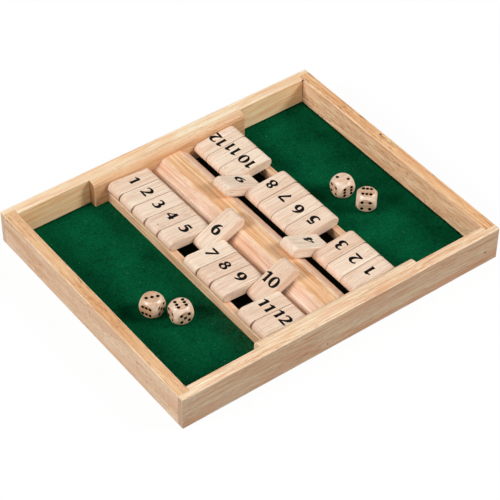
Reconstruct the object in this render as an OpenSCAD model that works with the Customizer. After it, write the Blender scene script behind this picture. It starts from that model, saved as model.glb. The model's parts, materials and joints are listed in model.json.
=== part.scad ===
// Shut the box game for two players: an open wooden box whose middle carries two facing rows of
// hinged number tiles, with a felt tray and two dice on each side.
// Millimetres. The origin is the centre of the footprint on the table, X runs along the box from
// one player's tray to the other's, Y along the rows of tiles, and Z up.

/* [Box] */
// Length of the box, from one player's end to the other's
box_l = 350; // [320:1:400]
// Width of the box, along the rows of tiles
box_w = 285; // [240:1:330]
// Height of the wall boards
box_h = 35.6; // [33:0.1:45]
// Thickness of the wall boards
wall_t = 11.7; // [9:0.1:15]
// Thickness of the lip that the corner rabbet leaves on a long board
lip_t = 6; // [4:0.1:8]

/* [Base] */
// Height of the base panel's underside above the table
base_gap = 3; // [1:0.5:5]
// Thickness of the base panel
base_t = 4; // [3:0.5:6]
// Depth of the groove that holds the base panel in the boards
groove_d = 5; // [3:0.5:6]
// Room left for the panel's edge at the bottom of the groove
groove_fit = 0.3; // [0.1:0.1:1]
// Thickness of the felt glued on the base panel
felt_t = 1.2; // [0.6:0.1:2]
// Gap between the felt's edge and the walls
felt_fit = 0.2; // [0.1:0.1:1]

/* [Tile frame] */
// Thickness of the two end blocks that carry the rods
block_t = 8.6; // [7:0.1:12]
// How far an end block runs past the outer face of the rail
block_past = 14.3; // [4:0.1:20]
// Radius along the inner top edge of an end block
block_r = 6; // [2:0.5:7]
// Width of the rails under the tiles' free ends
rail_w = 7; // [5:0.5:10]
// Height of the rails above the felt
rail_h = 10.8; // [9:0.1:12]
// Width of the centre moulding
mould_w = 45; // [38:0.5:52]
// Height of the centre moulding above the felt
mould_h = 20.2; // [17:0.1:22]
// Height of the moulding's upright sides, below its bevels
mould_side_h = 9; // [4:0.5:12]
// Width of the flat top between the moulding's bevels
mould_top_w = 19; // [12:0.5:24]

/* [Tiles] */
// Number of tiles in each row
tile_count = 12; // [9:1:12]
// Thickness of a tile, which is also the diameter of its rounded ends
tile_t = 10.6; // [8:0.1:12]
// Gap between neighbouring tiles
tile_gap = 0.3; // [0.2:0.05:0.6]
// Gap between the rows of tiles and the front end block
row_gap_front = 2; // [0.3:0.1:4]
// Gap between the rows of tiles and the back end block
row_gap_back = 0.3; // [0.2:0.1:4]
// Distance from a tile's bore to its inner end
inner_reach = 11.4; // [9:0.1:13]
// How far the bore lies below the middle of a flat tile's thickness
bore_drop = 0.5; // [0:0.1:0.8]
// Gap between the tiles' inner ends and the moulding
swing_gap = 3.1; // [1:0.1:4]
// Gap under a tile's inner end as it swings over the felt
floor_gap = 2.3; // [1:0.1:4]
// Gap from a tile's free end to the middle of the box, were it turned right over and level
middle_gap = 0.8; // [0.3:0.1:2]
// How far the tiles' free ends stand out past the rails
rail_overhang = 1.2; // [0.5:0.1:3]
// Gap left where a tile rests on its rail or on the moulding
rest_gap = 0.1; // [0.05:0.05:0.2]
// Tiles standing raised in the left row
raised_left = [6, 10]; // [1:1:12]
// Tiles standing raised in the right row
raised_right = [4, 9]; // [1:1:12]

/* [Rods] */
// Diameter of the two pivot rods
rod_d = 4; // [3:0.1:5]
// Radial clearance of the rods in the tiles and the end blocks
rod_fit = 0.05; // [0.02:0.01:0.1]
// Depth of the blind holes that hold the rods' ends
rod_seat = 6; // [4:0.5:6.5]
// Gap between a rod's end and the bottom of its blind hole
rod_end_gap = 0.2; // [0.1:0.1:0.5]

/* [Dice] */
// Distance between opposite faces of a die
die_size = 19.2; // [16:0.1:22]
// Diameter of the ball that rounds a die's corners and edges
die_ball_d = 24; // [22.5:0.1:27]
// Diameter of a pip
pip_d = 3.2; // [1.8:0.1:3.4]
// Depth of a pip
pip_depth = 0.5; // [0.3:0.05:0.8]
// Distance from the middle of a face to its outer rows of pips
pip_step = 3.7; // [3.5:0.1:4]

/* [Hidden] */
$fn = 64;
cut = 1; // how far a cut runs past the face that it opens

inner_l = box_l - 2 * wall_t;
inner_w = box_w - 2 * wall_t;
rabbet_d = wall_t - lip_t;
base_top = base_gap + base_t;
floor_z = base_top + felt_t;
bay_w = inner_w - 2 * block_t;

rod_hole_d = rod_d + 2 * rod_fit;
swing_r = norm([inner_reach - tile_t / 2, bore_drop]) + tile_t / 2;
pivot_x = mould_w / 2 + swing_gap + swing_r;
pivot_z = floor_z + floor_gap + swing_r;
free_reach = pivot_x - middle_gap;
tile_l = inner_reach + free_reach;
tile_pitch = (bay_w - row_gap_front - row_gap_back + tile_gap) / tile_count;
row_middle_y = (row_gap_front - row_gap_back) / 2;
tile_w = tile_pitch - tile_gap;

rail_outer_x = pivot_x + free_reach - rail_overhang;
rail_inner_x = rail_outer_x - rail_w;
rail_top = floor_z + rail_h;
mould_top = floor_z + mould_h;
block_l = 2 * (rail_outer_x + block_past);

// Angle above level of a bar turning about the origin when its lower face, which passes at the
// distance d from the origin, comes to the point [x, z].
function resting_angle(x, z, d) = atan2(z, x) + asin(d / norm([x, z]));

under_flat = tile_t / 2 - bore_drop + rest_gap;
under_raised = tile_t / 2 + bore_drop + rest_gap;
flat_tilt = resting_angle(rail_inner_x - pivot_x, rail_top - pivot_z, under_flat);
raised_lean = resting_angle(pivot_x - mould_top_w / 2, mould_top - pivot_z, under_raised);

tray_x = (rail_outer_x + inner_l / 2) / 2;

// One row per die: name, side, place from the middle of its tray, turn about Z, the numbers on its
// top, front (-Y) and left (-X) faces, and the quarter turns of the pips on those faces.
DICE = [
    ["die_left_1", -1, [-4.2, -21.9], 23, [3, 5, 6], [0, 0, 1]],
    ["die_left_2", -1, [11.3, -43.1], -10, [6, 5, 4], [0, 0, 0]],
    ["die_right_1", 1, [-7.7, 1.6], -6, [2, 6, 4], [0, 0, 0]],
    ["die_right_2", 1, [-1.3, -26.3], -43.5, [6, 4, 2], [1, 0, 0]],
];

function tile_name(side, n) = str("tile_", side < 0 ? "left_" : "right_", n);
function is_raised(side, n) = len(search(n, side < 0 ? raised_left : raised_right)) > 0;

// The left row counts towards -Y and the right row towards +Y.
function tile_y(side, n) = row_middle_y + side * (n - (tile_count + 1) / 2) * tile_pitch;

// Mirrors what is drawn on the positive side of an axis to the negative side.
module on_side(side, axis) {
    mirror(side < 0 ? axis : [0, 0, 0]) children();
}

// Extrudes a profile drawn in X and Z along Y, centred on the origin.
module along_y(length) {
    rotate([90, 0, 0]) linear_extrude(length, center = true) children();
}

module base_groove() {
    groove_l = inner_l + 2 * groove_d;
    groove_w = inner_w + 2 * groove_d;
    translate([-groove_l / 2, -groove_w / 2, base_gap]) cube([groove_l, groove_w, base_t]);
}

module long_board(side) {
    color("burlywood") on_side(side, [0, 1, 0]) difference() {
        translate([-box_l / 2, inner_w / 2, 0]) cube([box_l, wall_t, box_h]);
        for (end = [-1, 1]) on_side(end, [1, 0, 0])
            translate([inner_l / 2, inner_w / 2 - cut, -cut])
                cube([wall_t + cut, rabbet_d + cut, box_h + 2 * cut]);
        base_groove();
    }
}

module short_board(side) {
    board_l = inner_w + 2 * rabbet_d;
    color("tan") on_side(side, [1, 0, 0]) difference() {
        translate([inner_l / 2, -board_l / 2, 0]) cube([wall_t, board_l, box_h]);
        base_groove();
    }
}

module base_panel() {
    panel_l = inner_l + 2 * (groove_d - groove_fit);
    panel_w = inner_w + 2 * (groove_d - groove_fit);
    color("peru") translate([-panel_l / 2, -panel_w / 2, base_gap]) cube([panel_l, panel_w, base_t]);
}

module felt() {
    felt_l = inner_l - 2 * felt_fit;
    felt_w = inner_w - 2 * felt_fit;
    color("darkgreen") translate([-felt_l / 2, -felt_w / 2, base_top]) cube([felt_l, felt_w, felt_t]);
}

// Section of an end block, from its inner face at Y = 0 outwards, with the rounded inner top edge.
module block_section() {
    block_h = box_h - floor_z;
    difference() {
        square([block_t, block_h]);
        translate([0, block_h - block_r]) difference() {
            translate([-cut, 0]) square([block_r + cut, block_r + cut]);
            translate([block_r, 0]) circle(block_r);
        }
    }
}

module end_block(side) {
    color("burlywood") on_side(side, [0, 1, 0]) difference() {
        translate([-block_l / 2, bay_w / 2, floor_z]) rotate([90, 0, 90])
            linear_extrude(block_l) block_section();
        for (row = [-1, 1])
            translate([row * pivot_x, bay_w / 2 + rod_seat, pivot_z])
                rotate([90, 0, 0]) cylinder(d = rod_hole_d, h = rod_seat + cut);
    }
}

module rail(side) {
    color("wheat") on_side(side, [1, 0, 0])
        translate([rail_inner_x, -bay_w / 2, floor_z]) cube([rail_w, bay_w, rail_h]);
}

module centre_moulding() {
    color("sandybrown") translate([0, 0, floor_z]) along_y(bay_w) polygon([
        [-mould_w / 2, 0], [mould_w / 2, 0],
        [mould_w / 2, mould_side_h], [mould_top_w / 2, mould_h],
        [-mould_top_w / 2, mould_h], [-mould_w / 2, mould_side_h],
    ]);
}

module rod(side) {
    rod_l = bay_w + 2 * (rod_seat - rod_end_gap);
    color("silver") translate([side * pivot_x, 0, pivot_z])
        rotate([90, 0, 0]) cylinder(d = rod_d, h = rod_l, center = true);
}

// Side view of a tile with its bore at the origin and its free end towards +X.
module tile_profile() {
    difference() {
        translate([0, bore_drop]) {
            translate([tile_t / 2 - inner_reach, -tile_t / 2]) square([tile_l - tile_t, tile_t]);
            translate([tile_t / 2 - inner_reach, 0]) circle(d = tile_t);
            translate([free_reach - tile_t / 2, 0]) circle(d = tile_t);
        }
        circle(d = rod_hole_d);
    }
}

module tile(side, n) {
    turn = is_raised(side, n) ? 180 - raised_lean : flat_tilt;
    color("bisque") translate([side * pivot_x, tile_y(side, n), pivot_z])
        on_side(side, [1, 0, 0]) along_y(tile_w) rotate(turn) tile_profile();
}

// Places of the pips of one number, in steps from the middle of the face.
function pip_places(number) = [
    if (number % 2 == 1) [0, 0],
    if (number > 1) each [[-1, 1], [1, -1]],
    if (number > 3) each [[-1, -1], [1, 1]],
    if (number == 6) each [[-1, 0], [1, 0]],
];

// Hollows of one number's pips, cut into the upper face of a die at the origin.
module pips(number) {
    ball_r = (pow(pip_d / 2, 2) + pow(pip_depth, 2)) / (2 * pip_depth);
    for (place = pip_places(number))
        translate([place[0] * pip_step, place[1] * pip_step, die_size / 2 - pip_depth + ball_r])
            sphere(ball_r);
}

// A die at the origin showing the given numbers on its top, front and left faces.
module die_shape(numbers, quarters) {
    sides = [[0, 0, 0], [90, 0, 0], [90, 0, -90]];
    difference() {
        intersection() {
            cube(die_size, center = true);
            sphere(d = die_ball_d);
        }
        for (i = [0:2]) rotate(sides[i]) rotate(90 * quarters[i]) {
            pips(numbers[i]);
            rotate([180, 0, 0]) pips(7 - numbers[i]);
        }
    }
}

module die(i) {
    side = DICE[i][1];
    place = DICE[i][2];
    color("antiquewhite") translate([side * tray_x + place[0], place[1], floor_z + die_size / 2])
        rotate(DICE[i][3]) die_shape(DICE[i][4], DICE[i][5]);
}

long_board(-1);  // long_board_front
long_board(1);  // long_board_back
short_board(-1);  // short_board_left
short_board(1);  // short_board_right
base_panel();
felt();
end_block(-1);  // end_block_front
end_block(1);  // end_block_back
rail(-1);  // rail_left
rail(1);  // rail_right
centre_moulding();
rod(-1);  // rod_left
rod(1);  // rod_right
for (side = [-1, 1], n = [1:tile_count])
    tile(side, n);
for (i = [0:len(DICE) - 1])
    die(i);
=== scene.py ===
import json
import math
import random
from functools import partialmethod
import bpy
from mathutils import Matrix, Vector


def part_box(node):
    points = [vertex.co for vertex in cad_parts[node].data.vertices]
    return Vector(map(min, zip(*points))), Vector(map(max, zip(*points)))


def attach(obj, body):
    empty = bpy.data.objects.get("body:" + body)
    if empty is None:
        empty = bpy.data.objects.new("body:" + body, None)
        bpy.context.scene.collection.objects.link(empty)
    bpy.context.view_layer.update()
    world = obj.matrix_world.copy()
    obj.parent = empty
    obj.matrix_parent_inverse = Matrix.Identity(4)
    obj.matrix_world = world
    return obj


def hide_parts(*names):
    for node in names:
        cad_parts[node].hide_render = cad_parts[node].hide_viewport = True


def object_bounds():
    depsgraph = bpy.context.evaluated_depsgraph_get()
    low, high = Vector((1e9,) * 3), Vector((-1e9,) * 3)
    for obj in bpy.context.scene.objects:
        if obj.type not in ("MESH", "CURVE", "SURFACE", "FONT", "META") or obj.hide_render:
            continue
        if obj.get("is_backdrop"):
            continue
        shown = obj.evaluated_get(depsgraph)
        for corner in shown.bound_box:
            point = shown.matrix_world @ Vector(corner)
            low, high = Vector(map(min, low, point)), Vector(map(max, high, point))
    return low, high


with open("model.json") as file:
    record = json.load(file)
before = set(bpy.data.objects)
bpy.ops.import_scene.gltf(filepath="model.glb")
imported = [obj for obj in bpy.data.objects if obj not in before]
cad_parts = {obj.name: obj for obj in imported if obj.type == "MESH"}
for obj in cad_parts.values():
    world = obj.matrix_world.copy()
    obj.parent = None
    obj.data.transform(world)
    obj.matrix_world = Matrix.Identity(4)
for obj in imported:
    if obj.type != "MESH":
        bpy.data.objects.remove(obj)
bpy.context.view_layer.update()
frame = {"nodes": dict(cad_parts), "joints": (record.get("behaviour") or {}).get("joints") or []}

from types import SimpleNamespace

import bmesh
import bpy
from mathutils import Matrix, Vector, noise
from mathutils.geometry import delaunay_2d_cdt

mm = 0.001
print("shut the box: frame loaded,", len(frame["nodes"]), "nodes")


def tint(*levels):
    # colour picked on a 0-255 scale, turned linear
    def linear(level):
        level /= 255
        return level / 12.92 if level <= 0.04045 else ((level + 0.055) / 1.055) ** 2.4
    return (*map(linear, levels), 1)


class Value:
    # a socket that takes part in sums, so that node maths reads as a formula
    def __init__(self, net, socket):
        self.net, self.socket = net, socket

    def combine(self, operation, other, swap=False):
        kind = "ShaderNodeVectorMath" if self.socket.type == "VECTOR" else "ShaderNodeMath"
        first, second = (other, self) if swap else (self, other)
        return self.net.out(kind, {0: first, 1: second}, operation=operation)

    def times(self, factor, plus):
        return self.net.sums("MULTIPLY_ADD", self, factor, plus)

    __add__ = partialmethod(combine, "ADD")
    __sub__ = partialmethod(combine, "SUBTRACT")
    __rsub__ = partialmethod(combine, "SUBTRACT", swap=True)
    __mul__ = partialmethod(combine, "MULTIPLY")
    __truediv__ = partialmethod(combine, "DIVIDE")
    __rtruediv__ = partialmethod(combine, "DIVIDE", swap=True)


class Net:
    # a node tree; nodes of its own family, shader or geometry, go by their short names
    def __init__(self, tree):
        self.tree, self.family = tree, tree.bl_idname.removesuffix("Tree")

    def feed(self, node, inputs):
        for name, value in inputs.items():
            if isinstance(value, Value):
                self.tree.links.new(value.socket, node.inputs[name])
            else:
                node.inputs[name].default_value = value

    def node(self, kind, inputs=None, **settings):
        made = self.tree.nodes.new(kind if "Node" in kind else self.family + kind)
        for name, value in settings.items():
            setattr(made, name, value)
        self.feed(made, inputs or {})
        return made

    def out(self, kind, inputs=None, output=0, **settings):
        return Value(self, self.node(kind, inputs, **settings).outputs[output])

    def outputs(self, node):
        return SimpleNamespace(**{socket.name: Value(self, socket) for socket in node.outputs})

    def group(self, tree, **inputs):
        return self.outputs(self.node("Group", inputs, node_tree=tree))

    def split(self, vector):
        parts = self.outputs(self.node("ShaderNodeSeparateXYZ", {"Vector": vector}))
        return parts.X, parts.Y, parts.Z

    def join(self, x, y, z):
        return self.out("ShaderNodeCombineXYZ", {"X": x, "Y": y, "Z": z})

    def sums(self, operation, *values, clamp=False):
        return self.out("ShaderNodeMath", dict(enumerate(values)), operation=operation, use_clamp=clamp)

    def noise(self, coord, stretch, detail=2, rough=0.5, distortion=0):
        # over a coordinate in millimetres; one stretch goes for all three axes
        scaled = coord * (stretch if isinstance(stretch, tuple) else (stretch,) * 3)
        return self.out("TexNoise", {
            "Vector": scaled, "Scale": 1, "Detail": detail, "Roughness": rough, "Distortion": distortion})

    def steps(self, value, low, high, start=0, end=1, smooth=True):
        # goes from start to end while the value goes from low to high
        return self.out("ShaderNodeMapRange", {
            "Value": value, "From Min": low, "From Max": high, "To Min": start, "To Max": end},
            interpolation_type="SMOOTHSTEP" if smooth else "LINEAR")

    def blend(self, factor, first, second, how="MIX", **settings):
        return self.out("Mix", {0: factor, 6: first, 7: second}, 2,
                        data_type="RGBA", blend_type=how, **settings)

    def inMm(self, place):
        return self.out("ShaderNodeVectorMath", {0: place, "Scale": 1 / mm}, operation="SCALE")

    def objectMm(self):
        return self.inMm(self.out("TexCoord", output="Object"))

    def mark(self, name):
        return self.out("Attribute", output="Fac", attribute_name=name)


def newGroup(name, kind, inputs, outputs, defaults=()):
    # inputs and outputs list the names of their sockets by type
    group = bpy.data.node_groups.new(name, kind)
    for way, sockets in (("INPUT", inputs), ("OUTPUT", outputs)):
        for kind, label in [(kind, label) for kind, labels in sockets.items() for label in labels]:
            socket = group.interface.new_socket(name=label, in_out=way, socket_type="NodeSocket" + kind)
            if label in defaults:
                socket.default_value = defaults[label]
    net = Net(group)
    return net, net.outputs(net.node("NodeGroupInput")), net.node("NodeGroupOutput")


woodColours = ["pale", "deep", "blush", "pore"]
woodStrengths = ["ringWidth", "wander", "rings", "streaks", "lines", "fibres", "pores", "blotches", "blushes"]
grainStretch = dict(
    # change of each layer in a millimetre along the fibres, across them and through the board
    wander=(0.007, 0.015, 0.015), ringPatch=(0.012, 0.06, 0.06), blotch=(0.012, 0.045, 0.045),
    streak=(0.009, 0.42, 0.42), line=(0.026, 1.15, 1.15), fibre=(0.035, 3.2, 3.2),
    blush=(0.02, 0.2, 0.2), pore=(0.15, 2.3, 2.3), porePatch=(0.02, 0.14, 0.14),
    ring=(0.05, 1, 1), wear=(0.08, 0.2, 0.2))
ringScale = 0.314       # of the ring texture, for rings 1 mm wide


def makeWoodGroup():
    # grain of sawn wood, over a coordinate in millimetres whose X runs with the fibres
    net, get, result = newGroup(
        "woodGrain", "ShaderNodeTree", {"Vector": ["coord"], "Color": woodColours, "Float": woodStrengths},
        {"Color": ["colour"], "Float": ["height", "roughness"]})

    def layer(over, name, *settings):
        return net.noise(over, grainStretch[name], *settings)

    coord = get.coord
    # the rings wander slowly along the board
    shift = (layer(coord, "wander") - 0.5) * get.wander
    wandered = coord + net.join(0, shift, shift)
    wave = net.out("TexWave", {
        "Vector": wandered * grainStretch["ring"], "Scale": ringScale / get.ringWidth, "Distortion": 2.2,
        "Detail": 2, "Detail Scale": 0.7}, "Fac", wave_type="RINGS", rings_direction="X", wave_profile="SAW")
    ring = net.sums("POWER", wave, 1.8) * net.steps(layer(coord, "ringPatch"), 0.3, 0.7)
    blotch = net.steps(layer(coord, "blotch"), 0.3, 0.7)
    streak = net.steps(layer(wandered, "streak", 3, 0.62), 0.4, 0.64)
    line = net.steps(layer(wandered, "line", 2, 0.55), 0.3, 0.7, -1, 1, smooth=False)
    fibre = layer(coord, "fibre", 2, 0.6)
    deep = ring * get.rings
    for part, strength in ((streak, get.streaks), (blotch, get.blotches), (line, get.lines)):
        deep = part.times(strength, plus=deep)
    deep = ((fibre - 0.5) * get.fibres).times(2, plus=deep)
    deep = net.sums("MINIMUM", net.sums("MAXIMUM", deep, -0.35), 1.3)
    colour = net.blend(deep, get.pale, get.deep, clamp_factor=False)
    blush = net.steps(layer(wandered, "blush", 3, 0.6), 0.48, 0.66)
    colour = net.blend(blush * get.blushes, colour, get.blush)
    # open pores show as short dark dashes along the fibres
    pores = net.steps(layer(coord, "pore", 1), 0.6, 0.69)
    pores = pores * net.steps(layer(coord, "porePatch", 1), 0.32, 0.58)
    net.feed(result, {
        "colour": net.blend(pores * get.pores, colour, get.pore),
        "height": line.times(0.12, plus=fibre * 0.5) - pores,
        "roughness": net.steps(fibre, 0.3, 0.7, -0.05, 0.07)})
    return net.tree


def makeWearGroup():
    # handled edges catch a paler line, in patches along their length; the line is partly wear and partly
    # painted highlight
    net, get, result = newGroup("edgeWearAndHighlight", "ShaderNodeTree", {
        "Color": ["colour", "worn"], "Float": ["edge", "amount"], "Vector": ["coord"]}, {"Color": ["colour"]})
    patchy = net.steps(net.noise(get.coord, grainStretch["wear"], 3), 0.35, 0.65, 0.3, 1)
    amount = get.edge * get.amount * patchy
    net.feed(result, {"colour": net.blend(amount, get.colour, get.worn)})
    return net.tree


def makeKnotGroup():
    # a small knot, nick or open joint: a dark core inside a warm halo
    net, get, result = newGroup("knotMark", "ShaderNodeTree", {
        "Color": ["colour", "core", "halo"], "Float": ["haloStrength"],
        "Vector": ["coord", "centre", "reach"]}, {"Color": ["colour"]},
        {"core": tint(64, 38, 24), "halo": tint(176, 116, 70)})
    away = (get.coord - get.centre) / get.reach
    far = net.out("ShaderNodeVectorMath", {0: away}, "Value", operation="LENGTH")
    ragged = net.noise(get.coord, 1.3).times(0.8, plus=far - 0.4)
    halo = net.steps(ragged, 0.8, 2.4, 1, 0) * get.haloStrength
    core = net.steps(ragged, 0.7, 1.1, 1, 0)
    net.feed(result, {"colour": net.blend(core, net.blend(halo, get.colour, get.halo), get.core)})
    return net.tree


woodGrain, edgeWearAndHighlight, knotMark = makeWoodGroup(), makeWearGroup(), makeKnotGroup()


def newMaterial(name):
    material = bpy.data.materials.new(name)
    material.use_nodes = True
    return material, Net(material.node_tree), material.node_tree.nodes["Principled BSDF"]


def addBump(net, bsdf, height, strength, distance):
    bump = net.out("Bump", {"Height": height, "Strength": strength, "Distance": distance})
    net.feed(bsdf, {"Normal": bump})


def tinted(look):
    # a finish with its colours, rows of three levels, turned linear
    return SimpleNamespace(**{key: tint(*value) if isinstance(value, tuple) and len(value) == 3 else value
                    for key, value in look.items()})


def makeWood(name, look):
    material, net, bsdf = newMaterial(name)
    coord = net.out("Attribute", output="Vector", attribute_name="woodCoord")
    given = {key: getattr(look, key) for key in woodColours + woodStrengths}
    grain = net.group(woodGrain, coord=coord, **given)
    # each face of a board, the end grain and each tile have their own tone; the tints of the inner faces and
    # of some sides are partly the wood's own tone and partly painted light and shade
    faceTone = net.blend(net.mark("crown"), look.side, look.crown)
    faceTone = net.blend(net.mark("inside"), faceTone, look.inner)
    colour = net.blend(1, grain.colour, faceTone, "MULTIPLY")
    colour = net.blend(net.mark("endGrain") * look.endShade, colour, look.end)
    tone = net.blend(net.mark("tone").times(0.5, plus=0.5), look.toneLow, look.toneHigh)
    colour = net.blend(1, colour, tone, "MULTIPLY")
    # paler rounded edges, partly wear and partly painted highlight
    colour = net.group(edgeWearAndHighlight, colour=colour, edge=net.mark("easedEdge"), coord=coord, worn=look.worn,
                       amount=look.wear).colour
    # dark joint lines of the boards, and painted shade in the creases between neighbouring tiles
    colour = net.blend(net.mark("jointLineAndCreaseShade") * look.jointShade, colour, look.joint)
    # knots lie in mm of the whole object
    place = net.objectMm()
    for centre, reach, haloStrength in look.knots:
        colour = net.group(knotMark, colour=colour, coord=place, centre=centre, reach=reach,
                           haloStrength=haloStrength).colour
    net.feed(bsdf, {"Base Color": colour, "Roughness": grain.roughness + look.roughness,
                    "Specular IOR Level": look.gloss})
    addBump(net, bsdf, grain.height, look.bump, 0.0002)
    return material


boardLook = dict(
    pale=(250, 222, 188), deep=(212, 164, 118), blush=(236, 180, 146), pore=(146, 86, 48), ringWidth=6,
    wander=18, rings=0.32, streaks=0.5, lines=0.5, fibres=0.46, pores=0.75, blotches=0.28, blushes=0.35,
    crown=(255, 255, 255), side=(255, 255, 255), inner=(255, 255, 255), end=(206, 168, 138), endShade=0.6,
    worn=(255, 230, 200), wear=0.6, toneLow=(255, 255, 255), toneHigh=(255, 255, 255), joint=(132, 86, 54),
    jointShade=0.5, roughness=0.42, gloss=0.45, bump=0.35, knots=[])
# a knot is its middle and its reach in mm and how strong its halo is
cornerKnots = [((163, 130.5, 22), (0.35, 0.35, 13), 0.3), ((162.8, 130.4, 34.6), (0.9, 0.9, 1.3), 0.5)]
woodFinishes = {
    # where each differs from boardLook
    # its darker side tint is partly the wood's own tone and partly painted shade on the outer face
    "frontBoardWood": dict(
        pale=(255, 240, 210), deep=(234, 190, 150), crown=(255, 252, 250), side=(231, 217, 206),
        end=(186, 146, 118), streaks=0.55, rings=0.42, blotches=0.55, pores=0.5,
        knots=[((159.9, -142.5, 14.1), (1.1, 2, 0.8), 0.7), ((-21.4, -142.5, 7.5), (0.5, 2, 0.6), 0.8)]),
    # its lighter inner tint is partly the wood's own tone and partly painted light on the inner face
    "backBoardWood": dict(
        pale=(255, 238, 205), deep=(244, 188, 134), crown=(254, 254, 255), side=(240, 232, 222),
        inner=(255, 244, 228), pores=0.15, streaks=0.4, lines=0.34, fibres=0.38, blotches=0.42, rings=0.36,
        ringWidth=9, knots=cornerKnots),
    "leftBoardWood": dict(
        pale=(250, 218, 180), deep=(222, 170, 120), pore=(156, 84, 44), crown=(247, 238, 226),
        side=(251, 250, 252), pores=1, streaks=0.42, lines=0.36, fibres=0.42, blotches=0.45),
    # its lighter inner tint is partly the wood's own tone and partly painted light on the inner face
    "rightBoardWood": dict(
        pale=(255, 224, 194), deep=(228, 172, 132), crown=(246, 232, 204), side=(240, 228, 205),
        inner=(255, 250, 238), pores=1, streaks=0.55, lines=0.62, fibres=0.6,
        knots=[((171.4, 21.9, 35.6), (0.8, 1, 1), 0.8), *cornerKnots]),
    "frontBlockWood": dict(pale=(252, 228, 196), deep=(234, 192, 150), end=(246, 214, 178), pores=0.4),
    # its darker side tint is painted shade on the block's sides beside the tiles and the moulding
    "backBlockWood": dict(
        pale=(252, 226, 192), deep=(230, 186, 142), end=(160, 110, 68), side=(234, 214, 194), endShade=0.9,
        pores=0.4),
    "railWood": dict(pale=(238, 200, 164), deep=(200, 148, 106), ringWidth=4, wander=6),
    "mouldingWood": dict(
        pale=(254, 232, 212), deep=(226, 174, 134), crown=(250, 232, 203), side=(255, 252, 252), rings=0.22,
        streaks=0.55, lines=0.36, ringWidth=3, wander=3, blotches=0.45, roughness=0.34, pores=0.4,
        blushes=0.25),
    # the joint colour of the tiles is painted shade in the creases between neighbours
    "tileWood": dict(
        pale=(255, 239, 221), deep=(228, 194, 166), pore=(168, 112, 84), blush=(242, 208, 188),
        end=(228, 192, 168), worn=(250, 226, 206), toneLow=(255, 255, 252), toneHigh=(243, 232, 224),
        joint=(124, 72, 48), rings=0.34, streaks=0.4, lines=0.4, fibres=0.4, pores=0.42, ringWidth=4,
        wander=8, endShade=0.5, jointShade=0.75, knots=[((-66.2, 49.15, 29.8), (0.55, 0.55, 1.5), 0.4)]),
    "diceWood": dict(
        pale=(252, 236, 214), deep=(214, 172, 136), blush=(232, 184, 154), end=(218, 176, 142),
        worn=(255, 238, 222), toneLow=(222, 202, 186), toneHigh=(255, 252, 250), ringWidth=2.5, rings=0.4,
        streaks=0.5, lines=0.35, fibres=0.34, pores=0.4, blushes=0.5, wander=4, endShade=0.45, wear=0.45,
        roughness=0.32, gloss=0.7),
    "panelWood": dict(pale=(226, 196, 158), deep=(196, 156, 112), rings=0.6, ringWidth=12, roughness=0.65),
}
wood = {name: makeWood(name, tinted({**boardLook, **look})) for name, look in woodFinishes.items()}
print("wood finishes:", len(wood))


paints = {
    # size, detail and limits of the patches, their two colours, roughness and gloss
    "numberInk": (1.4, 3, (0.4, 0.75), (5, 3, 3), (15, 10, 9), (0.55, 0.75), 0.2),
    "pipPaint": (2.2, 2, (0.35, 0.7), (4, 3, 3), (12, 9, 8), (0.5, 0.7), 0.08),
}


def makePaint(name, stretch, detail, span, first, second, roughness, gloss):
    material, net, bsdf = newMaterial(name)
    patchy = net.steps(net.noise(net.objectMm(), stretch, detail), *span)
    net.feed(bsdf, {"Base Color": net.blend(patchy, tint(*first), tint(*second)),
                    "Roughness": net.steps(patchy, 0, 1, *roughness), "Specular IOR Level": gloss})
    return material


feltLook = {
    "dark": (0, 38, 23), "light": (8, 100, 61), "fibre": (22, 124, 82), "sheen": (60, 150, 100),
    "speck": (120, 168, 140), "speckShare": 0.55,
    # half width of the tile bay, and the colour and share of the painted shade on the felt under the tiles
    "bayHalf": 66, "bay": (34, 26, 16), "bayShare": 0.93,
    "fleck": (84, 70, 46), "fleckReach": 24, "fleckShare": 0.6, "strayFlecks": 0.15,
    # rubbed nap beside the left rail, which fades out along Y
    "mottle": (10, 26, 18), "mottleReach": 34, "mottleShare": 0.9, "mottleFade": (-100, 10, 1, 0.1),
    # painted shade along the foot of the walls
    "halfLength": 163.1, "halfWidth": 130.6, "rimReach": 4, "rimShade": 0.3,
}


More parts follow.
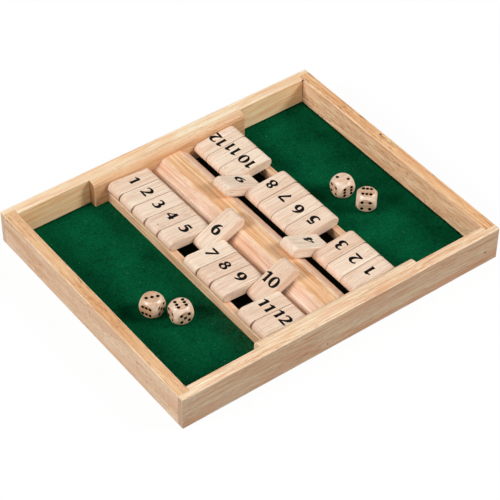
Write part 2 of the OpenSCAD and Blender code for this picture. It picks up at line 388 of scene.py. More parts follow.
def makeFelt(name, fibreShare):
    # pressed wool: soft cloudy nap, fine tangled fibres and no shine
    material, net, bsdf = newMaterial(name)
    look, coord = tinted(feltLook), net.objectMm()
    nap = net.noise(coord, 0.38, 4, 0.75, 0.8)
    tangle = net.noise(coord, 1.1, 4, 0.75, 1.8)
    mixed = net.noise(coord, 0.03, 4, 0.6) * 0.24
    mixed = tangle.times(0.42, plus=nap.times(0.34, plus=mixed))
    fibre = net.steps(net.noise(coord, 0.9, 6, 0.75, 2.5), 0.56, 0.7)
    speck = net.steps(net.noise(coord, 0.55, 1, 0.5), 0.755, 0.81)
    # wood dust gathers by the rails, and the felt under the tiles is painted dark as shade
    x, y, _ = net.split(coord)
    across, along = net.sums("ABSOLUTE", x), net.sums("ABSOLUTE", y)
    bay = look.bayHalf
    byRail = net.steps(across, bay, bay + look.mottleReach, 1, 0) * net.sums("LESS_THAN", x, 0)
    byRail = byRail * net.steps(y, *look.mottleFade)
    rubbed = net.steps(net.noise(coord, 0.34, 3, 0.65, 0.6), 0.46, 0.6) * byRail
    dusty = net.steps(across, bay, bay + look.fleckReach, look.strayFlecks, 0)
    flecks = net.steps(net.noise(coord, 0.8, 4, 0.75, 1.2), 0.52, 0.6) * net.sums("MAXIMUM", dusty, byRail)
    bayShadeMask = net.steps(across, bay - 2, bay + 4, 1, 0)
    colour = net.blend(net.steps(mixed, 0.38, 0.62, smooth=False), look.dark, look.light)
    for share, shade in ((fibre * fibreShare, look.fibre), (speck * look.speckShare, look.speck),
                         (rubbed * look.mottleShare, look.mottle), (flecks * look.fleckShare, look.fleck),
                         (bayShadeMask * look.bayShare, look.bay)):
        colour = net.blend(share, colour, shade)
    # painted shade on the felt along the foot of the walls
    toWall = net.sums("MINIMUM", look.halfLength - across, look.halfWidth - along)
    rim = net.steps(toWall, 0, look.rimReach, look.rimShade, 1)
    wallFootShade = net.out("CombineColor", {"Red": rim, "Green": rim, "Blue": rim})
    net.feed(bsdf, {
        "Base Color": net.blend(1, colour, wallFootShade, "MULTIPLY"),
        "Roughness": net.steps(nap, 0.3, 0.7, 0.92, 1), "Specular IOR Level": 0,
        "Sheen Weight": 0.1, "Sheen Roughness": 0.6, "Sheen Tint": look.sheen})
    addBump(net, bsdf, nap + tangle * 0.6, 0.8, 0.0006)
    return material


def makeSteel():
    material, net, bsdf = newMaterial("rodSteel")
    drawn = net.noise(net.objectMm(), (6, 0.05, 6), 3)
    net.feed(bsdf, {"Base Color": net.blend(drawn, tint(168, 168, 166), tint(196, 196, 194)),
                    "Roughness": net.steps(drawn, 0.3, 0.7, 0.28, 0.42), "Metallic": 1})
    addBump(net, bsdf, drawn, 0.15, 0.0001)
    return material


ink, pipPaint = [makePaint(name, *row) for name, row in paints.items()]
rodSteel = makeSteel()
feltCloth, feltFibre = makeFelt("feltCloth", 0.5), makeFelt("feltFibre", 1)


def addObject(name, data):
    made = bpy.data.objects.new(name, data)
    bpy.context.scene.collection.objects.link(made)
    return made


def newPiece(name, mesh, material, body, replaced=()):
    piece = addObject(name, mesh)
    if not mesh.materials:
        mesh.materials.append(material)
    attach(piece, body)
    if replaced:
        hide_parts(*replaced)
    return piece


def meshOf(name, bm):
    mesh = bpy.data.meshes.new(name)
    bm.to_mesh(mesh)
    bm.free()
    return mesh


def shadeSmooth(mesh, angle=32):
    mesh.shade_smooth()
    mesh.set_sharp_from_angle(angle=math.radians(angle))


def cleanCopy(node):
    # the node's solid with its triangles joined into flat faces
    bm = bmesh.new()
    bm.from_mesh(frame["nodes"][node].data)
    bmesh.ops.remove_doubles(bm, verts=bm.verts, dist=1e-6)
    bmesh.ops.dissolve_limit(bm, angle_limit=math.radians(1), verts=bm.verts, edges=bm.edges)
    return bm


def addMarks(bm, *names):
    for name in names:
        bm.faces.layers.float.new(name)
    return [bm.faces.layers.float[name] for name in names]


def writeWoodCoord(mesh, along, offset, unit=mm):
    # mm along the fibres, across them and through the board, from a start of its own
    axes = {"x": (0, 1, 2), "y": (1, 0, 2)}[along]
    attribute = mesh.attributes.new("woodCoord", "FLOAT_VECTOR", "POINT")
    for vertex, value in zip(mesh.vertices, attribute.data):
        value.vector = [vertex.co[axis] / unit + shift for axis, shift in zip(axes, offset)]


def drawShift(seed, along, across):
    random.seed(seed)
    return [random.uniform(-reach, reach) for reach in (along, across, across)]


# boards, blocks, rails and moulding
jointWidth = 0.4        # the hair of rounding where two pieces meet, in mm
easeSegments = 3
broadFace = 400       # faces larger than this are flat, in square mm
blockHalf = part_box("end_block_back")[1].x
low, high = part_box("short_board_right")
shortInner, outerX, shortEnd = low.x, high.x, high.y
low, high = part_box("long_board_back")
innerY, outerY, wallTop = low.y, high.y, high.z
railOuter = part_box("rail_right")[1].x
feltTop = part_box("felt")[1].z
near = 0.02 * mm


def at(value, target):
    return abs(value - target) < near


def middleOf(a, b):
    # middle of an edge, its distances from the middle planes, and its direction
    mid = (a + b) / 2
    return mid, abs(mid.x), abs(mid.y), (b - a).normalized()


def longBoardEdge(a, b):
    mid, x, y, run = middleOf(a, b)
    if at(y, outerY):
        return "ease"  # outer face
    if at(x, outerX):
        return "joint" if abs(run.z) > 0.5 else "ease"  # end of the lip
    if at(y, innerY) and abs(run.x) > 0.5:
        if mid.z > wallTop - near:
            return "joint" if x < blockHalf else "ease"
        return "joint" if mid.z < near else None
    return "joint" if mid.z > wallTop - near else None


def shortBoardEdge(a, b):
    mid, x, y, run = middleOf(a, b)
    if abs(run.y) > 0.5 and (mid.z > wallTop - near or mid.z < near):
        return "ease" if at(x, outerX) or (y < innerY and mid.z > near) else "joint"
    return "joint" if at(y, shortEnd) and at(x, outerX) else None


def blockEdge(a, b):
    mid, x, y, run = middleOf(a, b)
    if at(x, blockHalf):
        return "joint" if y > innerY - near else "ease"
    return "joint" if abs(run.x) > 0.5 and mid.z > wallTop - near and y > innerY - near else None


def barEdge(a, b):
    mid, _, _, run = middleOf(a, b)
    return "ease" if abs(run.y) > 0.5 and mid.z > feltTop + near else None


woodPieces = {
    # node, material, way of the fibres, shift of the grain in mm, rule for the edges, size of the ease
    "frontBoard": ("long_board_front", "frontBoardWood", "x", (40, -12, 22), longBoardEdge, 0.9),
    "backBoard": ("long_board_back", "backBoardWood", "x", (585, 60, -31), longBoardEdge, 0.9),
    "leftBoard": ("short_board_left", "leftBoardWood", "y", (1300, 22, 55), shortBoardEdge, 0.9),
    "rightBoard": ("short_board_right", "rightBoardWood", "y", (1900, -60, -18), shortBoardEdge, 0.9),
    "frontEndBlock": ("end_block_front", "frontBlockWood", "x", (2500, 25, 40), blockEdge, 0.7),
    "backEndBlock": ("end_block_back", "backBlockWood", "x", (3100, -44, 12), blockEdge, 0.7),
    "leftRail": ("rail_left", "railWood", "y", (3700, 15, -22), barEdge, 0.5),
    "rightRail": ("rail_right", "railWood", "y", (4300, -35, 41), barEdge, 0.5),
    "centreMoulding": ("centre_moulding", "mouldingWood", "y", (4900, 82, -38), barEdge, 2.6),
}


def makeWoodPiece(name, node, material, along, offset, edgeRule, ease):
    bm = cleanCopy(node)
    # cut where the kind of edge changes along its length
    cuts = {longBoardEdge: (blockHalf, 0, 0), shortBoardEdge: (0, innerY, 0)}
    if edgeRule in cuts:
        for side in (-1, 1):
            point = Vector(cuts[edgeRule]) * side
            bmesh.ops.bisect_plane(bm, geom=bm.verts[:] + bm.edges[:] + bm.faces[:], dist=1e-6,
                                   plane_co=point, plane_no=point.normalized())
    eased, joint, ends, inside, crown = addMarks(bm, "easedEdge", "jointLineAndCreaseShade", "endGrain", "inside", "crown")
    for kind, width, segments, mark in (("ease", ease, easeSegments, eased), ("joint", jointWidth, 1, joint)):
        chosen = [e for e in bm.edges if len(e.link_faces) == 2
                  and e.calc_face_angle(0) > math.radians(25)
                  and edgeRule(e.verts[0].co, e.verts[1].co) == kind]
        if chosen:
            made = bmesh.ops.bevel(bm, geom=chosen, offset=width * mm, offset_type="OFFSET", affect="EDGES",
                                   segments=segments, profile=0.5, clamp_overlap=True)
            for face in made["faces"]:
                face[mark] = 1
    for face in bm.faces:
        flat = face.calc_center_median().xy.normalized()
        face[inside] = float(edgeRule in cuts and face.normal.xy.dot(flat) < -0.6)
        face[ends] = getattr(face.normal, along) ** 2
        face[crown] = max(face.normal.z, 0) ** 12
    # only the rounded edges are shaded as round
    broad = [face.calc_area() > broadFace * mm ** 2 or max(map(abs, face.normal)) > 0.9999
             for face in bm.faces]
    mesh = meshOf(name, bm)
    writeWoodCoord(mesh, along, offset)
    shadeSmooth(mesh)
    mesh.polygons.foreach_set("use_smooth", [not flat for flat in broad])
    newPiece(name, mesh, wood[material], "box", (node,))


for name, row in woodPieces.items():
    makeWoodPiece(name, *row)
print("boards, blocks, rails and moulding:", len(woodPieces))


# tiles, in mm and degrees
tileSizes = dict(
    width=19.9, thickness=10.6, innerReach=11.4, freeReach=36.2205, boreDrop=0.5,
    boreRadius=2.05, ease=0.42, corner=1.7)
flatTilt, raisedLean = 4.0662, 25.2937
raisedTiles = {"left": (6, 10), "right": (4, 9)}
# tone of each tile's wood, 1 to 12, from pale cream at -1 to a deeper pink at 1
tileTones = {
    "left": (0, -1, -0.5, 0, 0, 0, -1, 0.5, 0.5, 0.5, 0, 0.5),
    "right": (0, -0.5, 1, -1, 0.5, -1, 0, 0, -1, -1, -1, 0),
}
halfTurns = {"left": math.pi, "right": 0}
everyTile = [(side, number) for side in ("left", "right") for number in range(1, 13)]


def store(net, geometry, name, value, kind="FLOAT", domain="POINT"):
    return net.out("StoreNamedAttribute", {"Geometry": geometry, "Name": name, "Value": value},
                   data_type=kind, domain=domain)


def closeTree(net, geometry, material, result):
    solid = net.out("RealizeInstances", {"Geometry": geometry})
    dressed = net.out("SetMaterial", {"Geometry": solid, "Material": material})
    net.feed(result, {"Geometry": dressed})
    return net.tree


def makeTileForm():
    # a bar with round ends, eased long edges, rounded free corners and a bore at the origin
    net, get, result = newGroup("tileForm", "GeometryNodeTree", {
        "Float": [*tileSizes, "turn", "halfTurn", "tone", "seamAbove", "seamBelow"],
        "Vector": ["pivot", "grainShift"], "Material": ["material"]}, {"Geometry": ["Geometry"]})
    around, across = 60, 13
    drum = net.out("MeshCylinder", {
        "Vertices": around, "Side Segments": across, "Fill Segments": 1, "Radius": 1, "Depth": 2},
        fill_type="NGON")
    drumX, drumY, drumZ = net.split(net.out("InputPosition"))
    justPast = 1.00001      # keeps the first point of the ring at the start of its round
    share = net.sums("FRACT", net.sums("ARCTAN2", drumY, drumX) / (2 * math.pi) + justPast)
    # shares of the round for the free end, the top, the inner end and the underside
    freeArc, topRun, innerArc, underRun = (
        net.sums("DIVIDE", share - start, length, clamp=True)
        for start, length in ((0, 0.4), (0.4, 0.1), (0.5, 0.4), (0.9, 0.1)))
    angle = (freeArc + innerArc).times(math.pi, plus=-math.pi / 2)
    # stations across the width crowd towards both sides
    first = 1 / across
    sweep = net.sums("DIVIDE", net.sums("ABSOLUTE", drumZ) - first, 1 - first, clamp=True) * (math.pi / 2)
    halfWidth, halfThick = get.width * 0.5, get.thickness * 0.5
    out = halfWidth - get.corner * (1 - net.sums("SINE", sweep))
    past = net.sums("MAXIMUM", out - (halfWidth - get.ease), 0)
    easeSquare = net.sums("MAXIMUM", get.ease * get.ease - past * past, 0)
    radius = halfThick - (get.ease - net.sums("SQRT", easeSquare))
    freeX = get.freeReach - halfThick - get.corner * (1 - net.sums("COSINE", sweep))
    x = (halfThick - get.innerReach - freeX).times(topRun - underRun, plus=freeX)
    y = out * (net.sums("SIGN", drumZ) * -1)
    spot = net.join(radius.times(net.sums("COSINE", angle), plus=x), y,
                    radius.times(net.sums("SINE", angle), plus=get.boreDrop))
    bar = net.out("SetPosition", {"Geometry": drum, "Position": spot})
    drill = net.out("MeshCylinder", {
        "Vertices": 32, "Radius": get.boreRadius, "Depth": get.width * 1.2})
    drill = net.out("Transform", {"Geometry": drill, "Rotation": (math.pi / 2, 0, 0)})
    tile = net.out("MeshBoolean", {0: bar, 1: drill}, operation="DIFFERENCE", solver="EXACT")
    coord = net.inMm(net.out("InputPosition")) + get.grainShift
    tile = store(net, tile, "woodCoord", coord, "FLOAT_VECTOR")
    facingX, facingY, _ = net.split(net.out("InputNormal"))
    tile = store(net, tile, "endGrain", facingX * facingX)
    tile = store(net, tile, "tone", get.tone)
    # painted shade on the eased edges beside a neighbour, where the crease between tiles lies in shade
    creaseShade = net.steps(facingY, 0.15, 0.5) * get.seamAbove
    creaseShade = net.steps(facingY, -0.5, -0.15, 1, 0).times(get.seamBelow, plus=creaseShade)
    onSlant = net.sums("LESS_THAN", net.sums("ABSOLUTE", facingY), 0.985)
    tile = store(net, tile, "jointLineAndCreaseShade", creaseShade * onSlant, domain="FACE")
    tile = net.out("Transform", {"Geometry": tile, "Rotation": net.join(0, get.turn * -1, 0)})
    tile = net.out("Transform", {
        "Geometry": tile, "Translation": get.pivot, "Rotation": net.join(0, 0, get.halfTurn)})
    return closeTree(net, tile, get.material, result)


def runTree(name, tree, values, start=None):
    # evaluates a geometry tree with named inputs and returns the plain mesh
    holder = addObject(name + "Holder", start or bpy.data.meshes.new(name + "Start"))
    modifier = holder.modifiers.new("form", "NODES")
    modifier.node_group = tree
    for item in tree.interface.items_tree:
        if item.item_type == "SOCKET" and item.in_out == "INPUT" and item.name in values:
            modifier[item.identifier] = values[item.name]
    depsgraph = bpy.context.evaluated_depsgraph_get()
    mesh = bpy.data.meshes.new_from_object(holder.evaluated_get(depsgraph), preserve_all_data_layers=True,
                                           depsgraph=depsgraph)
    holder.modifiers.remove(modifier)
    bpy.data.objects.remove(holder)
    mesh.name = name
    return mesh


tileForm = makeTileForm()
joints = {j["name"]: j for j in frame["joints"]}


def tileTurn(side, number):
    return math.radians(180 - raisedLean if number in raisedTiles[side] else flatTilt)


def tilePivot(side, number):
    return Vector(joints[f"tile_{side}_{number}_hinge"]["pos_m"])


def seamShade(side, number, other):
    # strength of the painted shade in the crease: 1 beside a neighbour in the same pose, less beside an end
    # block
    if number in raisedTiles[side] or other in raisedTiles[side]:
        return 0
    return 1 if 1 <= other <= 12 else 0.6


def makeTile(side, number):
    node = f"tile_{side}_{number}"
    mesh = runTree(f"{side}Tile{number}", tileForm, {
        **{key: size * mm for key, size in tileSizes.items()}, "turn": tileTurn(side, number),
        "halfTurn": halfTurns[side], "pivot": tilePivot(side, number),
        "grainShift": drawShift(f"{side}{number}", 900, 60), "tone": tileTones[side][number - 1],
        "seamAbove": seamShade(side, number, number + 1), "seamBelow": seamShade(side, number, number - 1),
        "material": wood["tileWood"]})
    shadeSmooth(mesh)
    newPiece(f"{side}Tile{number}", mesh, wood["tileWood"], node, (node,))


for side, number in everyTile:
    makeTile(side, number)
print("tiles:", len(everyTile))


# Pen strokes of each digit in mm: points (x, y, half width), from the middle of the digit
digitStrokes = {
    "1": (5.8, [
        [(1.55, 5.2, 1), (1.5, 3.8, 1.12), (1.5, 0.5, 1.05), (1.5, -3, 1.15), (1.5, -5.3, 1.4)],
        [(-3, 3.2, 0.28), (-1.7, 3.3, 0.5), (-0.3, 3.75, 0.75), (1.2, 4.5, 0.9)]]),
    "2": (8.6, [
        [(-3.9, 3, 0.6), (-2.8, 4.5, 0.6), (-0.8, 5, 0.62), (1.3, 4.5, 0.98), (2.6, 3.1, 1.28),
         (2.3, 1.2, 1.2), (0.7, -0.9, 0.88), (-1.4, -2.8, 0.62), (-3.5, -4.3, 0.45)],
        [(-4.1, -4.5, 0.6), (3.3, -4.5, 0.78), (4.2, -4.2, 0.62)]]),
    "3": (8.4, [
        [(-3.5, 3.5, 0.6), (-2.2, 4.5, 0.5), (-0.2, 4.75, 0.6), (1.5, 4, 0.98), (2.15, 2.6, 1.18),
         (1.4, 1.1, 0.9), (-0.5, 0.15, 0.5)],
        [(-0.9, 0.15, 0.45), (0.9, 0.05, 0.75), (2.4, -0.9, 1.15), (2.95, -2.6, 1.32), (1.9, -4.4, 1.05),
         (-0.1, -5.15, 0.6), (-2.2, -4.95, 0.5), (-3.8, -4.2, 0.58)]]),
    "4": (9.5, [
        [(1.95, 5, 1.1), (1.95, 0, 1.1), (1.95, -5.2, 1.35)],
        [(1.7, 4.9, 0.6), (-1.3, 1.4, 0.5), (-4.2, -1.7, 0.5)],
        [(-4.3, -2, 0.62), (0, -2.05, 0.66), (4.4, -2, 0.78)]]),
    "5": (8.7, [
        [(-2.4, 4.5, 0.75), (3.5, 4.5, 0.85)], [(-2.1, 4.5, 0.55), (-2.7, 1, 0.55)],
        [(-2.8, 0.85, 0.45), (-0.9, 1.35, 0.72), (1.2, 0.9, 1.08), (2.7, -0.6, 1.38), (2.7, -2.5, 1.32),
         (1.2, -4.3, 0.92), (-0.9, -5, 0.58), (-2.7, -4.7, 0.55), (-3.8, -4.1, 0.62)]]),
    "6": (9, [
        [(2.2, 5, 0.32), (0.4, 4.45, 0.62), (-1.7, 2.95, 0.98), (-3.05, 0.6, 1.25), (-3.15, -1.9, 1.3),
         (-1.9, -4.1, 0.95), (0.1, -4.95, 0.58), (2.2, -4.1, 0.98), (3.2, -2.1, 1.32), (2.6, -0.1, 1.12),
         (0.9, 0.95, 0.66), (-0.9, 0.7, 0.46), (-2.6, -0.6, 0.4)]]),
    "7": (9, [
        [(-4.1, 4.3, 1), (-3.2, 4.5, 0.82), (4.1, 4.6, 0.75)],
        [(3.9, 4.6, 0.68), (1.5, 1.3, 0.82), (-1.1, -2.2, 0.95), (-2.9, -4.7, 1.1)]]),
    "8": (9.3, []),
    "0": (9.5, []),
}
ovals = {
    # middle height, half width, half height, thin and thick half widths of the line
    "8": [(2.75, 2.45, 1.95, 0.5, 0.98), (-2.2, 3.1, 2.55, 0.52, 1.1)],
    "0": [(0, 3.4, 4.9, 0.46, 1.2)],
}
numberPlaces = {
    # distance of the number from the bore and its shift towards +Y, in mm
    "left": [(12.1, 0.9), (11.5, 0.7), (12.3, 0.7), (11.6, 1.3), (11.6, 0.5), (12.4, -0.2), (11.6, 0.3),
             (11.2, 0.9), (8.8, 1.6), (12.4, 0.3), (11.9, 0.5), (9.2, 0.6)],
    "right": [(14.4, -0.6), (13.7, -0.6), (14.4, 0.2), (8.9, 1.1), (14.8, 0.7), (12.5, 0.4), (13.5, 0.7),
              (14.1, 1.3), (10.3, 1.8), (14.4, 0.4), (14.3, 1), (11.4, 0.9)],
}
numberSizes = {"gap": 2.6, "rise": 0.04, "sink": 0.02, "bold": 1.38, "scale": 1.03, "ovalSteps": 44}


def smoothLine(points, perSpan=7):
    # Catmull-Rom line through points that also carry the half width
    p = [Vector(point) for point in points]
    if len(p) == 2:
        return p
    p = [p[0] * 2 - p[1], *p, p[-1] * 2 - p[-2]]
    line = []
    for i in range(1, len(p) - 2):
        for k in range(perSpan):
            t = k / perSpan
            line.append(0.5 * ((2 * p[i]) + (p[i + 1] - p[i - 1]) * t
                               + (2 * p[i - 1] - 5 * p[i] + 4 * p[i + 1] - p[i + 2]) * t ** 2
                               + (3 * p[i] - p[i - 1] - 3 * p[i + 1] + p[i + 2]) * t ** 3))
    return line + [p[-2]]


def quadsBetween(sides):
    return [[a[0], b[0], b[1], a[1]] for a, b in zip(sides, sides[1:])]


def strokeQuads(line):
    sides = []
    for i, point in enumerate(line):
        before, after = line[max(i - 1, 0)], line[min(i + 1, len(line) - 1)]
        run = Vector((after.x - before.x, after.y - before.y)).normalized()
        off = Vector((-run.y, run.x)) * point.z * numberSizes["bold"]
        middle = Vector((point.x, point.y))
        sides.append((middle - off, middle + off))
    return quadsBetween(sides)


def digitQuads(digit):
    if digit == "9":
        width, quads = digitQuads("6")
        return width, [[-p for p in quad] for quad in quads]
    width, strokes = digitStrokes[digit]
    quads = [quad for stroke in strokes for quad in strokeQuads(smoothLine(stroke))]
    for middle, a, b, thin, thick in ovals.get(digit, []):
        thin, thick = thin * numberSizes["bold"], thick * numberSizes["bold"]
        rings = []
        for i in range(numberSizes["ovalSteps"] + 1):
            turn = 2 * math.pi * i / numberSizes["ovalSteps"]
            reach = Vector((math.cos(turn), math.sin(turn)))
            rings.append([Vector(((a + way * thick) * reach.x, middle + (b + way * thin) * reach.y))
                          for way in (-1, 1)])
        quads += quadsBetween(rings)
    return width, quads


def unionFaces(quads):
    # merges overlapping flat quads into one clean set of triangles
    points, faces = [], []
    for quad in quads:
        area = sum(quad[i - 1].x * quad[i].y - quad[i].x * quad[i - 1].y for i in range(4)) / 2
        if abs(area) < 1e-5:
            continue
        faces.append(list(range(len(points), len(points) + 4)))
        points += quad if area > 0 else quad[::-1]
    spots, _, cells, _, _, owners = delaunay_2d_cdt(points, [], faces, 1, 1e-4)
    return spots, [cell for cell, owner in zip(cells, owners) if owner]


def addNumberPlate(bm, text, place):
    # closed thin plate of ink, laid out in mm and put in its place
    s = numberSizes
    widths = [digitQuads(digit)[0] for digit in text]
    cursor = -(sum(widths) + s["gap"] * (len(text) - 1)) / 2
    for digit, width in zip(text, widths):
        middle = cursor + width / 2
        cursor += width + s["gap"]
        spots, cells = unionFaces(digitQuads(digit)[1])
        flat = [Vector(((p.x + middle) * s["scale"], p.y * s["scale"], 0)) for p in spots]
        upper, lower = ([bm.verts.new(place @ (p + Vector((0, 0, height)))) for p in flat]
                        for height in (s["rise"], -s["sink"]))
        rim = set()
        for cell in cells:
            bm.faces.new([upper[i] for i in cell])
            bm.faces.new([lower[i] for i in reversed(cell)])
            rim.update(zip(cell, cell[1:] + cell[:1]))
        for i, j in rim:
            if (j, i) not in rim:
                bm.faces.new([upper[j], upper[i], lower[i], lower[j]])


def makeNumber(side, number):
    along, across = numberPlaces[side][number - 1]
    across *= -1 if side == "left" else 1
    place = (Matrix.Translation(tilePivot(side, number)) @ Matrix.Rotation(halfTurns[side], 4, "Z")
             @ Matrix.Rotation(-tileTurn(side, number), 4, "Y") @ Matrix.Scale(mm, 4))
    bm = bmesh.new()
    # X runs to the tile's free end, Y across, Z out of the face that is up when it lies flat
    for up in (1, -1):
        height = tileSizes["boreDrop"] + up * tileSizes["thickness"] / 2
        face = Matrix(((0, -up, 0, along), (1, 0, 0, across), (0, 0, up, height), (0, 0, 0, 1)))
        addNumberPlate(bm, str(number), place @ face)
    bmesh.ops.delete(bm, geom=[v for v in bm.verts if not v.link_faces], context="VERTS")
    mesh = meshOf(f"{side}Number{number}", bm)
    newPiece(f"{side}Number{number}", mesh, ink, f"tile_{side}_{number}")


for side, number in everyTile:
    makeNumber(side, number)
print("numbers:", len(everyTile), "pairs")


# dice, in mm: the ball rounds the cube's corners, and the crease is how sharply it does
diceSizes = {
    "size": 19.2, "ball": 24, "pip": 3.2, "pipDepth": 0.5, "paint": 1.02, "step": 3.7, "crease": 70,
    "gridCells": 18, "pipClear": 0.85, "ringBand": (6.4, 8.8),
    # distances from the edge of the flat, and the points on each of these rings
    "flatRings": (-0.8, -0.3, 0.1, 0.5, 1.1), "flatPoints": 56,
    # shares of a pip's radius, and the points on each ring
    "pipRings": ((1.35, 20), (1.02, 24), (0.95, 24), (0.8, 20), (0.45, 12)),
}
# places of the pips round the middle, by the least number that has them
pipPairs = {2: [(-1, 1), (1, -1)], 4: [(-1, -1), (1, 1)], 6: [(-1, 0), (1, 0)]}
diceList = {
    # turn about Z, numbers on the top, front and left faces, quarter turns of their pips, tone of the wood
    "die_left_1": (23, (3, 5, 6), (0, 0, 1), -0.5),
    "die_left_2": (-10, (6, 5, 4), (0, 0, 0), 0.2),
    "die_right_1": (-6, (2, 6, 4), (0, 0, 0), 0.9),
    "die_right_2": (-43.5, (6, 4, 2), (1, 0, 0), -0.4),
}


def dieFace(number):
    # flat net of one face in mm, with rings round each pip and the flat
    s = diceSizes
    half, count = s["size"] / 2, s["gridCells"]
    places = [(0, 0)] * (number % 2)
    places += [place for least, pair in pipPairs.items() if number >= least for place in pair]
    pips = [Vector((x * s["step"], y * s["step"])) for x, y in places]
    points, edges = [], []

    def ring(middle, radius, around):
        start = len(points)
        for i in range(around):
            turn = 2 * math.pi * i / around
            points.append(Vector((middle.x + radius * math.cos(turn), middle.y + radius * math.sin(turn))))
            edges.append((start + i, start + (i + 1) % around))

    for i in range(count + 1):
        for j in range(count + 1):
            spot = Vector((-half + 2 * half * i / count, -half + 2 * half * j / count))
            onEdge = i in (0, count) or j in (0, count)
            byPip = any((spot - p).length < s["pip"] * s["pipClear"] for p in pips)
            if onEdge or not (byPip or s["ringBand"][0] < spot.length < s["ringBand"][1]):
                points.append(spot)
    flat = math.sqrt((s["ball"] / 2) ** 2 - half ** 2)
    for beyond in s["flatRings"]:
        ring(Vector((0, 0)), flat + beyond, s["flatPoints"])
    for p in pips:
        for share, around in s["pipRings"]:
            ring(p, s["pip"] / 2 * share, around)
        points.append(p)
    spots, _, cells, _, _, _ = delaunay_2d_cdt(points, edges, [], 0, 1e-5)
    return spots, cells, pips


def diePoint(spot, pips):
    # from the net of a face onto the rounded cube, sunk where a pip is
    s = diceSizes
    ray = Vector((spot.x, spot.y, s["size"] / 2))
    reach = (ray.length ** -s["crease"] + (s["ball"] / 2) ** -s["crease"]) ** (-1 / s["crease"])
    point = ray * (reach / ray.length)
    for p in pips:
        away = (spot - p).length / (s["pip"] / 2)
        if away < 1:
            point.z -= s["pipDepth"] * math.sqrt(1 - away ** 2) ** 0.8
    return point


def makeDie(node, turn, numbers, quarters, tone):
    s = diceSizes
    sides = [Matrix.Identity(4), Matrix.Rotation(math.pi / 2, 4, "X"),
             Matrix.Rotation(-math.pi / 2, 4, "Z") @ Matrix.Rotation(math.pi / 2, 4, "X")]
    bm = bmesh.new()
    for side, number, quarter in zip(sides, numbers, quarters):
        for flip, shown in ((Matrix.Identity(4), number), (Matrix.Rotation(math.pi, 4, "X"), 7 - number)):
            place = side @ Matrix.Rotation(math.pi / 2 * quarter, 4, "Z") @ flip
            spots, cells, pips = dieFace(shown)
            made = [bm.verts.new(place @ diePoint(spot, pips)) for spot in spots]
            for cell in cells:
                middle = sum((spots[i] for i in cell), Vector((0, 0))) / len(cell)
                face = bm.faces.new([made[i] for i in cell])
                face.material_index = int(any((middle - p).length < s["pip"] / 2 * s["paint"] for p in pips))
    bmesh.ops.remove_doubles(bm, verts=bm.verts, dist=1e-4)
    ends, tones, eased = addMarks(bm, "endGrain", "tone", "easedEdge")
    for face in bm.faces:
        face.normal_update()
        face[ends] = abs(face.normal.x) ** 3
        face[tones] = tone
        # the rounded corners of the dice take the paler line, partly wear and partly painted highlight
        face[eased] = float(max(map(abs, face.normal)) < 0.97 and not face.material_index)
        face.smooth = True
    mesh = meshOf(node, bm)
    writeWoodCoord(mesh, "x", drawShift(node, 500, 40), unit=1)
    low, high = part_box(node)
    middle = Vector(((low.x + high.x) / 2, (low.y + high.y) / 2, low.z + s["size"] / 2 * mm))
    spin = Matrix.Rotation(math.radians(turn), 4, "Z")
    mesh.transform(Matrix.Translation(middle) @ spin @ Matrix.Scale(mm, 4))
    mesh.materials.append(wood["diceWood"])
    mesh.materials.append(pipPaint)
    name = "die" + node.removeprefix("die").title().replace("_", "")
    newPiece(name, mesh, None, node, (node,))


for node, row in diceList.items():
    makeDie(node, *row)
print("dice:", len(diceList))


feltSizes = {
    # depth and frequency of the ripples, and how far the edge is pressed down, in mm
    "ripple": 0.12, "ripplesPerMetre": 40, "rippleSlice": 3.1, "edgePress": 0.1, "cellsX": 66, "cellsY": 52,
    # loose fibres: their number, size, distance from the rails and seed
    "fibres": 5200, "fibreLength": 1.5, "fibreWidth": 0.07, "fibreClear": 1.5, "fibreSeed": 7,
}


def makeFeltSheet():
    s = feltSizes
    low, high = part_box("felt")
    nx, ny = s["cellsX"], s["cellsY"]
    bm, grid = bmesh.new(), {}
    for i in range(nx + 1):
        for j in range(ny + 1):
            x = low.x + (high.x - low.x) * i / nx
            y = low.y + (high.y - low.y) * j / ny
            spot = Vector((x * s["ripplesPerMetre"], y * s["ripplesPerMetre"], s["rippleSlice"]))
            dip = (noise.noise(spot) + 1) / 2 * s["ripple"] * mm
            if i in (0, nx) or j in (0, ny):
                dip += s["edgePress"] * mm
            grid[i, j] = (bm.verts.new((x, y, high.z - dip)), bm.verts.new((x, y, low.z)))
    for i in range(nx):
        for j in range(ny):
            corners = [(i, j), (i + 1, j), (i + 1, j + 1), (i, j + 1)]
            bm.faces.new([grid[c][0] for c in corners])
            bm.faces.new([grid[c][1] for c in reversed(corners)])
    border = ([(i, 0) for i in range(nx)] + [(nx, j) for j in range(ny)]
              + [(i, ny) for i in range(nx, 0, -1)] + [(0, j) for j in range(ny, 0, -1)])
    for a, b in zip(border, border[1:] + border[:1]):
        bm.faces.new([grid[b][0], grid[a][0], grid[a][1], grid[b][1]])
    mesh = meshOf("feltSheet", bm)
    shadeSmooth(mesh, 40)
    return newPiece("feltSheet", mesh, feltCloth, "box", ("felt",))


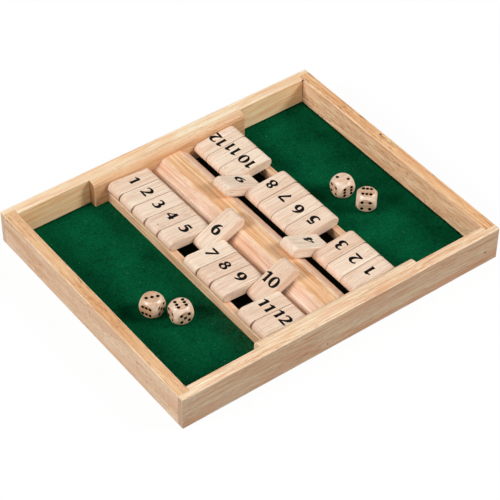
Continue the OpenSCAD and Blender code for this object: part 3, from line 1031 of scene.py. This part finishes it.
def makeFibreTree():
    # loose fibres scattered over the open felt, lying nearly flat
    net, get, result = newGroup("looseFibres", "GeometryNodeTree", {
        "Geometry": ["Geometry"], "Float": ["countDensity", "length", "width", "clearHalf"],
        "Int": ["seed"], "Material": ["material"]}, {"Geometry": ["Geometry"]})
    x, _, _ = net.split(net.out("InputPosition"))
    _, _, facingZ = net.split(net.out("InputNormal"))
    onTop, isClear = (
        net.out("FunctionNodeCompare", {0: value, 1: limit}, operation="GREATER_THAN", data_type="FLOAT")
        for value, limit in ((facingZ, 0.5), (net.sums("ABSOLUTE", x), get.clearHalf)))
    chosen = net.out("FunctionNodeBooleanMath", {0: onTop, 1: isClear}, operation="AND")
    points = net.out("DistributePointsOnFaces", {
        "Mesh": get.Geometry, "Selection": chosen, "Density": get.countDensity, "Seed": get.seed})
    hair = net.out("MeshCone", {
        "Vertices": 3, "Radius Top": 0, "Radius Bottom": get.width, "Depth": get.length}, fill_type="NGON")
    leastTurn, mostTurn = (1.36, -0.06, 0), (1.56, 0.06, 2 * math.pi)
    spin = net.out("FunctionNodeRandomValue", {"Seed": get.seed, 0: leastTurn, 1: mostTurn},
                   data_type="FLOAT_VECTOR")
    size = net.out("FunctionNodeRandomValue", {2: 0.5, 3: 1.4}, 1, data_type="FLOAT")
    laid = net.out("InstanceOnPoints", {"Points": points, "Instance": hair, "Rotation": spin, "Scale": size})
    return closeTree(net, laid, get.material, result)


felt = makeFeltSheet()
openArea = 2 * (shortInner - railOuter) * 2 * innerY
fibreMesh = runTree("feltNap", makeFibreTree(), {
    "countDensity": feltSizes["fibres"] / openArea, "length": feltSizes["fibreLength"] * mm,
    "width": feltSizes["fibreWidth"] * mm, "clearHalf": railOuter + feltSizes["fibreClear"] * mm,
    "seed": feltSizes["fibreSeed"], "material": feltFibre}, start=felt.data)
nap = newPiece("feltNap", fibreMesh, feltFibre, "box")
print("felt and nap:", len(fibreMesh.polygons), "faces")


# the rods stay as the frame has them
for rodName in ("rod_left", "rod_right"):
    rodMaterials = frame["nodes"][rodName].data.materials
    rodMaterials.clear()
    rodMaterials.append(rodSteel)


def makePanel():
    # plywood base, seen from below
    bm = cleanCopy("base_panel")
    ends, = addMarks(bm, "endGrain")
    for face in bm.faces:
        face[ends] = float(abs(face.normal.z) <= 0.5)
    mesh = meshOf("basePanel", bm)
    writeWoodCoord(mesh, "x", (5500, 12, -60))
    newPiece("basePanel", mesh, wood["panelWood"], "box", ("base_panel",))


makePanel()
print("rods and base panel: 3")


studio = {
    "floorHalf": 4, "floorCells": 8, "floorBounce": (74, 73, 72), "floorShow": 0.95, "floorDrop": 0.05,
    "worldStrength": 0.18, "worldColour": (255, 252, 248),
    # soft boxes: where each stands from the object, its size and distance in metres and its power in watts
    "softBoxes": {
        "leftBox": ((-0.96, 0.25, 0.74), 1.1, 3.2, 69.5),
        "rightBox": ((0.8, -0.6, 0.74), 1.1, 3.2, 65.5),
        "frontBox": ((-0.55, -0.83, 0.4), 2.2, 3.4, 24),
    },
}


def raysOf(net):
    path = net.node("LightPath")
    return [Value(net, path.outputs[f"Is {kind} Ray"]) for kind in ("Camera", "Glossy", "Transmission")]


def makePaper():
    material, net, _ = newMaterial("studioPaper")
    net.tree.nodes.clear()
    white = (1, 1, 1, 1)
    camera, glossy, clear = raysOf(net)
    seen = net.sums("MAXIMUM", camera, net.sums("MAXIMUM", glossy, clear))
    matte = net.out("BsdfDiffuse", {"Color": net.blend(seen, tint(*studio["floorBounce"]), white)})
    glow = net.out("Emission", {"Color": white, "Strength": 1})
    paper = net.out("MixShader", {0: seen * studio["floorShow"], 1: matte, 2: glow})
    # seen from underneath the paper is clear, so that the base shows
    below = net.out("NewGeometry", output="Backfacing")
    paper = net.out("MixShader", {0: below, 1: paper, 2: net.out("BsdfTransparent")})
    net.node("OutputMaterial", {0: paper})
    return material


def makeFloor():
    bm = bmesh.new()
    cells = studio["floorCells"]
    bmesh.ops.create_grid(bm, x_segments=cells, y_segments=cells, size=studio["floorHalf"])
    mesh = meshOf("studioFloor", bm)
    mesh.transform(Matrix.Translation((0, 0, -studio["floorDrop"] * mm)))
    mesh.materials.append(makePaper())
    addObject("studioFloor", mesh)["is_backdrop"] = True


def makeWorld():
    world = bpy.data.worlds.new("studio")
    bpy.context.scene.world = world
    world.use_nodes = True
    net = Net(world.node_tree)
    camera, _, clear = raysOf(net)
    seen = net.sums("MAXIMUM", camera, clear)
    strength = seen.times(1 - studio["worldStrength"], plus=studio["worldStrength"])
    net.feed(net.tree.nodes["Background"], {"Color": tint(*studio["worldColour"]), "Strength": strength})


def makeSoftBox(name, towards, size, distance, power):
    data = bpy.data.lights.new(name, "AREA")
    data.energy, data.size, data.shape = power, size, "SQUARE"
    lamp = addObject(name, data)
    towards = Vector(towards).normalized()
    lamp.location = towards * distance
    lamp.rotation_euler = towards.to_track_quat("Z", "Y").to_euler()


cameraView = {
    "target": (-0.01156, -0.017032, 0.01781), "azimuth": -37.139, "elevation": 43.668, "roll": 0.542,
    "distance": 1.764194, "lens": 141.087, "sensor": 36,
}


def makeCamera():
    view = cameraView
    azimuth, elevation, roll = (math.radians(view[key]) for key in ("azimuth", "elevation", "roll"))
    level = math.cos(elevation)
    back = Vector((math.sin(azimuth) * level, -math.cos(azimuth) * level, math.sin(elevation)))
    right = Vector((0, 0, 1)).cross(back).normalized()
    up = back.cross(right)
    right, up = right * math.cos(roll) + up * math.sin(roll), up * math.cos(roll) - right * math.sin(roll)
    data = bpy.data.cameras.new("camera")
    data.lens, data.sensor_width = view["lens"], view["sensor"]
    data.clip_start, data.clip_end = 0.05, 20
    camera = addObject("camera", data)
    place = Matrix((right, up, back)).transposed().to_4x4()
    place.translation = Vector(view["target"]) + back * view["distance"]
    camera.matrix_world = place
    bpy.context.scene.camera = camera


makeFloor()
makeWorld()
for name, row in studio["softBoxes"].items():
    makeSoftBox(name, *row)
makeCamera()
bpy.context.scene.view_settings.view_transform = "Standard"
print("studio: floor, world, camera and", len(studio["softBoxes"]), "soft boxes")

low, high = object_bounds()
